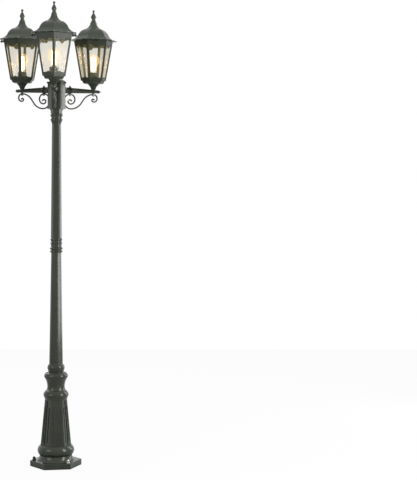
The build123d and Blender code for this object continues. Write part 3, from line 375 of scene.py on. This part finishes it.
def softened(mesh, radius, angle=rounding["angle"]):  # edges rounded, or left crisp with a radius of 0
    mesh.shade_smooth()
    holder = holderOf(mesh)
    if radius:
        bevel = holder.modifiers.new("rounding", "BEVEL")
        bevel.width = radius
        bevel.segments = rounding["segments"]
        bevel.limit_method = "ANGLE"
        bevel.angle_limit = radians(angle)
        bevel.use_clamp_overlap = True
        bevel.harden_normals = True
    made = evaluatedMesh(holder, mesh.name)
    if not radius:
        made.set_sharp_from_angle(angle=radians(angle))
    return made


def fromWork(work, name):
    mesh = bpy.data.meshes.new(name)
    work.to_mesh(mesh)
    work.free()
    return mesh


def cleanCopy(node):  # a CAD node's triangles, joined into whole faces
    source = frame["nodes"][node].data
    loose = bpy.data.meshes.new(node + "Loose")
    loose.from_pydata([v.co for v in source.vertices], [], [tuple(p.vertices) for p in source.polygons])
    work = bmesh.new()
    work.from_mesh(loose)
    bmesh.ops.remove_doubles(work, verts=work.verts, dist=cleaning["merge"])
    bmesh.ops.dissolve_limit(work, angle_limit=radians(cleaning["flat"]), verts=work.verts, edges=work.edges)
    return fromWork(work, node + "Copy")


def refine(name, node, body, slot, radius, angle=rounding["angle"]):  # radius in millimetres
    addPiece(name, softened(cleanCopy(node), radius * mm, angle), body, slot, [node])


def latheMesh(name, outline, steps):  # outline of radius and height, in metres
    work = bmesh.new()
    turns = [2 * pi * step / steps for step in range(steps)]
    rings = []
    for radius, height in outline:
        if radius:
            rings.append([work.verts.new((radius * cos(turn), radius * sin(turn), height)) for turn in turns])
        else:
            rings.append([work.verts.new((0, 0, height))])
    for low, high in zip(rings, rings[1:]):
        for step in range(steps):
            after = (step + 1) % steps
            face = [low[step % len(low)], low[after % len(low)], high[after % len(high)], high[step % len(high)]]
            face = list(dict.fromkeys(face))  # a pole counts once
            if len(face) > 2:
                work.faces.new(face)
    bmesh.ops.recalc_face_normals(work, faces=work.faces)
    return fromWork(work, name)


def curvePoints(start, middle, end, steps):  # an even curve through three points
    points = []
    for step in range(steps + 1):
        t = step / steps
        a, b, c = 2 * (t - 0.5) * (t - 1), 4 * t * (1 - t), 2 * t * (t - 0.5)
        points.append(tuple(a * s + b * m + c * e for s, m, e in zip(start, middle, end)))
    return points


def ballMesh(place, sizes):  # place and half sizes in millimetres
    work = bmesh.new()
    matrix = Matrix.Translation(Vector(place) * mm) @ Matrix.Diagonal((*[size * mm for size in sizes], 1))
    bmesh.ops.create_uvsphere(work, u_segments=ball["around"], v_segments=ball["up"], radius=1, matrix=matrix)
    return fromWork(work, "ball")


def joined(name, meshes):
    work = bmesh.new()
    for mesh in meshes:
        work.from_mesh(mesh)
    return fromWork(work, name)


def moved(mesh, matrix):
    made = mesh.copy()
    made.transform(matrix)
    return made


def atLantern(mesh, side):  # from the lantern's own axis to its place, with a corner at its angle
    turn = Matrix.Rotation(radians(lanternAngle[side]), 4, "Z")
    return moved(mesh, Matrix.Translation(lanternAxis[side]) @ turn)


# Geometry Nodes

class Group(NodeTree):  # a tree with named inputs, run on a mesh
    def __init__(self, name, **inputs):
        super().__init__(bpy.data.node_groups.new(name, "GeometryNodeTree"))
        self.tree.is_modifier = True
        self.tree.interface.new_socket("Geometry", in_out="OUTPUT", socket_type="NodeSocketGeometry")
        for label, kind in {"Geometry": "Geometry", **inputs}.items():
            self.tree.interface.new_socket(label, in_out="INPUT", socket_type=f"NodeSocket{kind}")
        given = self.tree.nodes.new("NodeGroupInput").outputs
        self.given = {socket.name: Wire(self, socket) for socket in given if socket.name}

    def finish(self, geometry):
        real = self.node("GeometryNodeRealizeInstances", None, {"Geometry": geometry})
        painted = self.node("GeometryNodeSetMaterial", None, {"Geometry": real, "Material": self.given["Material"]})
        self.node("NodeGroupOutput", None, {"Geometry": painted})
        return self

    def run(self, mesh, name, **values):  # values are set by the socket's identifier
        holder = holderOf(mesh)
        work = holder.modifiers.new("made", "NODES")
        work.node_group = self.tree
        for item in self.tree.interface.items_tree:
            if item.in_out == "INPUT" and item.name in values:
                work[item.identifier] = values[item.name]
        return evaluatedMesh(holder, name)


def aroundAxisGroup():  # copies of the mesh turned round the upright axis
    group = Group("aroundAxis", Count="Int", Turn="Float", Material="Material")
    count = group.given["Count"]
    angle = group.node("GeometryNodeInputIndex") / count * (2 * pi) + group.given["Turn"]
    turn = group.node("ShaderNodeCombineXYZ", None, {"Z": angle})
    spots = group.node("GeometryNodePoints", None, {"Count": count})
    copies = group.node("GeometryNodeInstanceOnPoints", None, {
        "Points": spots, "Instance": group.given["Geometry"], "Rotation": turn,
    })
    return group.finish(copies)


def rimBeadsGroup():  # copies of the mesh along a rim with corners, some to each side of it
    group = Group("rimBeads", Reach="Float", Corners="Int", Each="Int", Height="Float", Material="Material")
    rim = group.node("GeometryNodeCurvePrimitiveCircle", {"mode": "RADIUS"}, {
        "Resolution": group.given["Corners"], "Radius": group.given["Reach"],
    })
    total = group.given["Each"] * group.given["Corners"]
    even = group.node("GeometryNodeResampleCurve", None, {"Curve": rim, "Count": total})
    lift = group.node("ShaderNodeCombineXYZ", None, {"Z": group.given["Height"]})
    raised = group.node("GeometryNodeSetPosition", None, {"Geometry": even, "Offset": lift})
    copies = group.node("GeometryNodeInstanceOnPoints", None, {
        "Points": raised, "Instance": group.given["Geometry"],
    })
    return group.finish(copies)


def taperedTubeGroup():  # a many-sided tube between two heights, with rounded corners
    group = Group("taperedTube", Sides="Int", Bottom="Float", Top="Float", Foot="Float", Head="Float",
                  Turn="Float", Corner="Float", Steps="Int", Material="Material")
    given = group.given
    profile = group.node("GeometryNodeCurvePrimitiveCircle", {"mode": "RADIUS"}, {
        "Resolution": given["Sides"], "Radius": 1.0,
    })
    spin = group.node("ShaderNodeCombineXYZ", None, {"Z": given["Turn"]})
    turned = group.node("GeometryNodeTransform", None, {"Geometry": profile, "Rotation": spin})
    rounded = group.node("GeometryNodeFilletCurve", {"mode": "POLY"}, {
        "Curve": turned, "Radius": given["Corner"], "Count": 3,
    })
    low = group.node("ShaderNodeCombineXYZ", None, {"Z": given["Foot"]})
    high = group.node("ShaderNodeCombineXYZ", None, {"Z": given["Head"]})
    line = group.node("GeometryNodeCurvePrimitiveLine", None, {"Start": low, "End": high})
    even = group.node("GeometryNodeResampleCurve", None, {"Curve": line, "Count": given["Steps"]})
    size = group.node("ShaderNodeMapRange", None, {
        "Value": group.node("GeometryNodeSplineParameter"), "To Min": given["Bottom"], "To Max": given["Top"],
    })
    tube = group.node("GeometryNodeCurveToMesh", None, {
        "Curve": even, "Profile Curve": rounded, "Scale": size, "Fill Caps": True,
    })
    return group.finish(tube)


aroundAxis = aroundAxisGroup()
rimBeads = rimBeadsGroup()
taperedTube = taperedTubeGroup()
print("geometry trees made")


# Post: sizes along the axis and radii in metres, the corner as a share of the radius
lowerPost = {
    "Sides": 12, "Bottom": 34.6 * mm, "Top": 25.8 * mm, "Foot": 512 * mm, "Head": 1073 * mm,
    "Turn": radians(15), "Corner": 0.035, "Steps": 12,
}
upperPost = {
    "Sides": 6, "Bottom": 27.5 * mm, "Top": 22.8 * mm, "Foot": 1149 * mm, "Head": 1717 * mm,
    "Turn": 0.0, "Corner": 0.07, "Steps": 12,
}
lowerBead = {
    "spigot": 31 * mm, "neck": 38.5 * mm, "widest": 43 * mm, "lip": 37.6 * mm, "top": 33.6 * mm,
    "heights": (448 * mm, 472 * mm, 478 * mm, 497.8 * mm, 511 * mm, 516 * mm), "curve": 16, "around": 72,
}
postEdge = 30  # degrees, a post's corners are rounded by their own points
postPieces = {  # node, slot, radius in millimetres and angle in degrees of the rounded edges
    "pedestalCasting": ("pedestal", "post_paint", 0.5, 32),
    "anchorNuts": ("anchor_nuts", "anchor_steel", 0.4, 38),
    "collarCasting": ("pedestal_collar", "post_paint", 0.4, 38),
    "midJoint": ("mid_joint", "post_paint", 0.3, 38),
    "topCollar": ("top_collar", "post_paint", 0.4, 38),
    "hubBlock": ("hub", "post_paint", 0.9, 38),
    "hubCap": ("hub_cap", "post_paint", 0.8, 38),
    "domeScrews": ("post_screws", "screw_steel", 0.2, 38),
}


def postTube(name, sizes):
    mesh = taperedTube.run(bpy.data.meshes.new(name), name, Material=slotFinish["post_paint"], **sizes)
    work = bmesh.new()
    work.from_mesh(mesh)
    bmesh.ops.remove_doubles(work, verts=work.verts, dist=cleaning["tubeMerge"])
    bmesh.ops.recalc_face_normals(work, faces=work.faces)
    return fromWork(work, name)


def beadMesh(sizes):
    low, seat, neck, middle, lip, top = sizes["heights"]
    curve = curvePoints((sizes["neck"], neck), (sizes["widest"], middle), (sizes["lip"], lip), sizes["curve"])
    outline = [(0, low), (sizes["spigot"], low), (sizes["spigot"], seat), (sizes["neck"], seat)]
    return latheMesh("bead", outline + curve + [(sizes["top"], top), (0, top)], sizes["around"])


lowerMesh = joined("lowerPost", [postTube("lowerTube", lowerPost), beadMesh(lowerBead)])
addPiece("lowerPost", softened(lowerMesh, 0, postEdge), "root", "post_paint", ["lower_post"])
addPiece("upperPost", softened(postTube("upperPost", upperPost), 0, postEdge), "root", "post_paint", ["upper_post"])
for name, (node, slot, radius, angle) in postPieces.items():
    refine(name, node, "root", slot, radius, angle)
paintNode("terminal_block", terminalPlastic)
print("post made")

# Arms
armPieces = {  # node, slot and radius in millimetres
    "Arm": ("arm", "post_paint", 0.5),
    "ArmTip": ("arm_tip", "post_paint", 0.3),
    "Scroll": ("scroll", "post_paint", 0),
    "Fasteners": ("scroll_fasteners", "screw_steel", 0.25),
}
for side in sides:
    for name, (node, slot, radius) in armPieces.items():
        refine(side + name, f"{node}_{side}", "root", slot, radius)
    paintNode(f"stem_{side}", stemBrass)
print("arms made")

# Lanterns, drawn in millimetres from the arm's axis with a corner of the cage on +X
leaf = {
    "steps": 14, "across": (-1, -0.7, -0.35, 0, 0.35, 0.7, 1), "relief": (0, 0.9, 0.2, 1.4, 0.2, 0.9, 0),
    "thickness": 1.6, "tooth": 0.76, "narrow": 0.4, "swell": 0.6, "swellFrom": 0.12, "swellSpan": 0.72,
    "tip": 0.85, "tipPower": 7, "fade": 0.6, "fadePower": 4,
}
largeLeaf = {"line": ((10.8, 11.4), (15.2, 25), (27.4, 36.6)), "half": 6.4, "turn": 0.0}
smallLeaf = {"line": ((10.4, 12.4), (16.4, 26), (24.6, 33.2)), "half": 4.6, "turn": radians(30)}
calyxCore = {
    "outline": [(0, 10.4), (9.4, 10.4), (11.6, 17), (15, 25), (20.5, 32), (27, 36.4), (29.2, 37.6), (29.2, 39.2),
                (0, 39.2)],
    "around": 48, "edge": 46,
}


def leafHalf(sizes, share):  # half width at a share of the leaf's length
    swell = leaf["swell"] * sin(pi * (leaf["swellFrom"] + leaf["swellSpan"] * share))
    return sizes["half"] * (leaf["narrow"] + swell) * (1 - leaf["tip"] * share ** leaf["tipPower"])


def leafMesh(sizes):
    steps, last = leaf["steps"], len(leaf["across"]) - 1
    points = curvePoints(*sizes["line"], steps)
    work = bmesh.new()
    sheets = []
    for depth in (0, leaf["thickness"]):
        rows = []
        for step, (reach, height) in enumerate(points):
            along = (Vector(points[min(step + 1, steps)]) - Vector(points[max(step - 1, 0)])).normalized()
            share = step / steps
            half = leafHalf(sizes, share) * (leaf["tooth"] if step % 2 else 1)
            row = []
            for aside, relief in zip(leaf["across"], leaf["relief"]):
                out = relief * (1 - leaf["fade"] * share ** leaf["fadePower"]) - depth
                spot = Vector((reach + along.y * out, half * aside, height - along.x * out))
                row.append(work.verts.new(spot * mm))
            rows.append(row)
        sheets.append(rows)
    front, back = sheets
    for step in range(steps):
        for column in range(last):
            for rows in sheets:
                low, high = rows[step], rows[step + 1]
                work.faces.new((low[column], low[column + 1], high[column + 1], high[column]))
        for column in (0, last):
            work.faces.new((front[step][column], front[step + 1][column],
                            back[step + 1][column], back[step][column]))
    for column in range(last):
        for step in (0, steps):
            work.faces.new((front[step][column], front[step][column + 1],
                            back[step][column + 1], back[step][column]))
    bmesh.ops.recalc_face_normals(work, faces=work.faces)
    return fromWork(work, "leaf")


def turnedOutline(name, outline, around):  # outline in millimetres
    return latheMesh(name, [(radius * mm, height * mm) for radius, height in outline], around)


def calyxMesh():
    leaves = [
        aroundAxis.run(leafMesh(sizes), "leaves", Count=corners, Turn=sizes["turn"], Material=lanternPaint)
        for sizes in (largeLeaf, smallLeaf)
    ]
    core = turnedOutline("core", calyxCore["outline"], calyxCore["around"])
    return softened(joined("calyx", [core] + leaves), 0, calyxCore["edge"])


wing = {  # the first side is drawn on +X; each ball has a place and half sizes
    "axis": 247.3, "count": 2, "turn": radians(90), "around": 20, "edge": 60,
    "balls": [
        ((104.5, 0, 0), (4.2, 4.2, 4.2)), ((109.2, 0, 0), (3.6, 2.4, 2.4)),
        ((104.5, 0, 4.2), (2.4, 2.2, 2.6)), ((104.5, 0, -4.2), (2.4, 2.2, 2.6)),
        ((104.8, 6.6, 0.4), (2.3, 5.0, 2.0)), ((104.8, -6.6, 0.4), (2.3, 5.0, 2.0)),
        ((104.8, 11.2, 1.6), (3.0, 3.2, 3.2)), ((104.8, -11.2, 1.6), (3.0, 3.2, 3.2)),
        ((104.8, 15.0, 0.2), (1.7, 1.8, 1.8)), ((104.8, -15.0, 0.2), (1.7, 1.8, 1.8)),
    ],
    "shaft": [
        (0, 87.2), (2.5, 87.2), (2.5, 91.2), (4.4, 91.6), (4.4, 94), (3.0, 96), (3.0, 100), (4.0, 103), (0, 103),
    ],
}


def wingedScrews():
    shaft = turnedOutline("shaft", wing["shaft"], wing["around"])
    lying = moved(shaft, Matrix.Rotation(radians(90), 4, "Y"))
    one = joined("screw", [lying] + [ballMesh(place, sizes) for place, sizes in wing["balls"]])
    raised = moved(one, Matrix.Translation((0, 0, wing["axis"] * mm)))
    pair = aroundAxis.run(raised, "screws", Count=wing["count"], Turn=wing["turn"], Material=lanternPaint)
    return softened(pair, 0, wing["edge"])


pearls = {"radius": 2.7, "reach": 119.5, "each": 3, "height": 256.2, "edge": 60}


def pearlMesh():
    made = rimBeads.run(ballMesh((0, 0, 0), [pearls["radius"]] * 3), "pearls", Reach=pearls["reach"] * mm,
                        Corners=corners, Each=pearls["each"], Height=pearls["height"] * mm, Material=rimPearl)
    return softened(made, 0, pearls["edge"])


valance = {  # a scalloped plate under the top rail of each face; drops are measured from the cage's top
    "top": 252.3, "reach": 86.6, "lean": 0.155, "half": 42.0, "steps": 84, "start": 4.0, "base": 16.0,
    "behind": 0.6, "thickness": 1.5, "scallop": 1.6, "scallops": 2.5, "turn": radians(30), "edge": 30,
    "lobes": ((-35, 7, 7), (-21.5, 7.5, 9), (0, 14.5, 19), (21.5, 7.5, 9), (35, 7, 7)),  # middle, half, depth
}


def valanceDrop(aside):
    deepest = 0
    for middle, half, depth in valance["lobes"]:
        share = (aside - middle) / half
        if abs(share) < 1:
            curl = valance["scallop"] * abs(sin(valance["scallops"] * pi * share))
            deepest = max(deepest, depth * (1 - share * share) ** 0.5 + curl)
    return valance["base"] + deepest


def valanceMesh():
    work = bmesh.new()
    columns = []
    for step in range(valance["steps"] + 1):
        aside = valance["half"] * (2 * step / valance["steps"] - 1)
        column = []
        for drop in (valance["start"], valanceDrop(aside)):
            for behind in (valance["behind"], valance["behind"] + valance["thickness"]):
                reach = valance["reach"] - valance["lean"] * drop - behind
                column.append(work.verts.new(Vector((reach, aside, valance["top"] - drop)) * mm))
        columns.append(column)
    for left, right in zip(columns, columns[1:]):
        for a, b in ((0, 1), (1, 3), (3, 2), (2, 0)):
            work.faces.new((left[a], left[b], right[b], right[a]))
    for end in (columns[0], columns[-1]):
        work.faces.new((end[0], end[1], end[3], end[2]))
    bmesh.ops.recalc_face_normals(work, faces=work.faces)
    one = fromWork(work, "valance")
    around = aroundAxis.run(one, "valances", Count=corners, Turn=valance["turn"], Material=lanternPaint)
    return softened(around, 0, valance["edge"])


calyxCup, screwPair, pearlRow, valanceRing = calyxMesh(), wingedScrews(), pearlMesh(), valanceMesh()
for side in sides:
    lantern, bulb, roof = f"lantern_{side}", f"bulb_{side}", f"roof_{side}"
    addPiece(f"{side}Calyx", atLantern(calyxCup, side), lantern, "lantern_paint", [f"calyx_{side}"])
    refine(f"{side}Pan", f"pan_{side}", lantern, "lantern_paint", 0.8, 32)
    refine(f"{side}Cage", f"cage_{side}", lantern, "lantern_paint", 0.45)
    addPiece(f"{side}Valance", atLantern(valanceRing, side), lantern, "lantern_paint")
    refine(f"{side}Panes", f"panes_{side}", lantern, "pane_glass", 0.2)
    refine(f"{side}Holder", f"lampholder_{side}", lantern, "holder_plastic", 0.5)
    refine(f"{side}BulbCap", f"bulb_cap_{side}", bulb, "cap_metal", 0.2)
    refine(f"{side}Bulb", f"bulb_{side}", bulb, "bulb_glass", 0)
    refine(f"{side}Filament", f"filament_{side}", bulb, "filament", 0)
    refine(f"{side}Roof", f"roof_{side}", roof, "roof_paint", 0.9, 32)
    refine(f"{side}Finial", f"finial_{side}", roof, "roof_paint", 0.4)
    addPiece(f"{side}ThumbScrews", atLantern(screwPair, side), roof, "lantern_paint", [f"thumb_screws_{side}"])
    addPiece(f"{side}Pearls", atLantern(pearlRow, side), roof, "screw_steel", finish=rimPearl)
print("lanterns made")

# Floor, lights and camera
floorPlan = {
    "size": 9.0, "cloud": 0.4, "dark": shade(0.82, 0.82, 0.81), "pale": shade(0.86, 0.86, 0.85), "roughness": 0.7,
    "white": 0.94,
}
room = {"tone": shade(0.95, 0.97, 1.0), "strength": 0.42}
softboxes = {
    "keySoftbox": {"place": (2.7, -1.5, 1.6), "target": (0, 0, 1.4), "power": 62.0, "size": (0.7, 2.5)},
    "rimSoftbox": {"place": (2.6, 1.5, 1.6), "target": (0, 0, 1.4), "power": 22.0, "size": (0.6, 2.5)},
    "fillSoftbox": {"place": (-3.4, -3.2, 2.2), "target": (0, 0, 1.3), "power": 50.0, "size": (2.4, 2.6)},
    "backSoftbox": {"place": (-1.6, 2.9, 3.0), "target": (0, 0, 1.6), "power": 35.0, "size": (1.6, 1.2)},
}
bulbLight = {"power": 0.35, "height": 2.04, "radius": 0.016, "tone": (1.0, 0.62, 0.25)}
view = {  # angles in degrees, focus and longSide in pixels, sensor in millimetres
    "azimuth": 3.5, "distance": 6.5, "height": 1.437, "focus": 1288.8, "longSide": 480.0, "sensor": 36.0,
    "yaw": 6.743, "pitch": -2.598, "roll": 0.414,
}


def floorFinish():
    finish = Finish("paleFloor")
    tone = finish.mix(finish.noise(floorPlan["cloud"], 3), floorPlan["dark"], floorPlan["pale"])
    ground = finish.node("ShaderNodeBsdfPrincipled", None, {"Base Color": tone, "Roughness": floorPlan["roughness"]})
    white = finish.node("ShaderNodeEmission", None, {"Color": shade(1, 1, 1), "Strength": 1.0})
    seen = finish.node("ShaderNodeLightPath", output="Is Camera Ray")
    both = finish.node("ShaderNodeMixShader", None, {0: floorPlan["white"] * seen, 1: ground, 2: white})
    finish.node("ShaderNodeOutputMaterial", None, {"Surface": both})
    return finish.material


def makeFloor():
    half = floorPlan["size"] / 2
    mesh = bpy.data.meshes.new("floor")
    spots = [(-half, -half, 0), (half, -half, 0), (half, half, 0), (-half, half, 0)]
    mesh.from_pydata(spots, [], [(0, 1, 2, 3)])
    mesh.materials.append(floorFinish())
    floor = bpy.data.objects.new("floor", mesh)
    bpy.context.scene.collection.objects.link(floor)


def makeWorld():  # white where it is seen, also in gloss and through glass, and dimmer as a light
    world = bpy.data.worlds.new("studio")
    bpy.context.scene.world = world
    world.use_nodes = True
    world.node_tree.nodes.clear()
    sky = NodeTree(world.node_tree)
    straight, glossy, through = [
        sky.node("ShaderNodeLightPath", output=f"Is {ray} Ray") for ray in ("Camera", "Glossy", "Transmission")
    ]
    seen = sky.maths("MAXIMUM", sky.maths("MAXIMUM", straight, glossy), through)
    dim = sky.node("ShaderNodeBackground", None, {"Color": room["tone"], "Strength": room["strength"]})
    white = sky.node("ShaderNodeBackground", None, {"Color": shade(1, 1, 1), "Strength": 1.0})
    both = sky.node("ShaderNodeMixShader", None, {0: seen, 1: dim, 2: white})
    sky.node("ShaderNodeOutputWorld", None, {"Surface": both})


def makeSoftbox(name, box):
    data = bpy.data.lights.new(name, "AREA")
    data.shape = "RECTANGLE"
    data.size, data.size_y = box["size"]
    data.energy = box["power"]
    light = bpy.data.objects.new(name, data)
    light.location = box["place"]
    light.rotation_mode = "QUATERNION"
    light.rotation_quaternion = (Vector(box["target"]) - Vector(box["place"])).to_track_quat("-Z", "Y")
    bpy.context.scene.collection.objects.link(light)


def makeBulbLight(side):
    data = bpy.data.lights.new(f"{side}Glow", "POINT")
    data.energy = bulbLight["power"]
    data.color = bulbLight["tone"]
    data.shadow_soft_size = bulbLight["radius"]
    light = bpy.data.objects.new(f"{side}Glow", data)
    light.location = (lanternAxis[side][0], lanternAxis[side][1], bulbLight["height"])
    bpy.context.scene.collection.objects.link(light)


def makeCamera():
    data = bpy.data.cameras.new("camera")
    data.sensor_fit = "AUTO"
    data.sensor_width = view["sensor"]
    data.lens = view["focus"] / view["longSide"] * view["sensor"]
    camera = bpy.data.objects.new("camera", data)
    around, heading = radians(view["azimuth"]), radians(view["azimuth"] - view["yaw"])
    tilt = radians(view["pitch"])
    camera.location = (view["distance"] * sin(around), -view["distance"] * cos(around), view["height"])
    ahead = Vector((-sin(heading) * cos(tilt), cos(heading) * cos(tilt), sin(tilt)))
    camera.rotation_mode = "QUATERNION"
    level = ahead.to_track_quat("-Z", "Y")
    camera.rotation_quaternion = level @ Quaternion((0, 0, 1), radians(view["roll"]))
    bpy.context.scene.collection.objects.link(camera)
    bpy.context.scene.camera = camera


makeFloor()
makeWorld()
for name, box in softboxes.items():
    makeSoftbox(name, box)
for side in sides:
    makeBulbLight(side)
makeCamera()
bpy.context.scene.view_settings.view_transform = "Standard"
print("studio made")
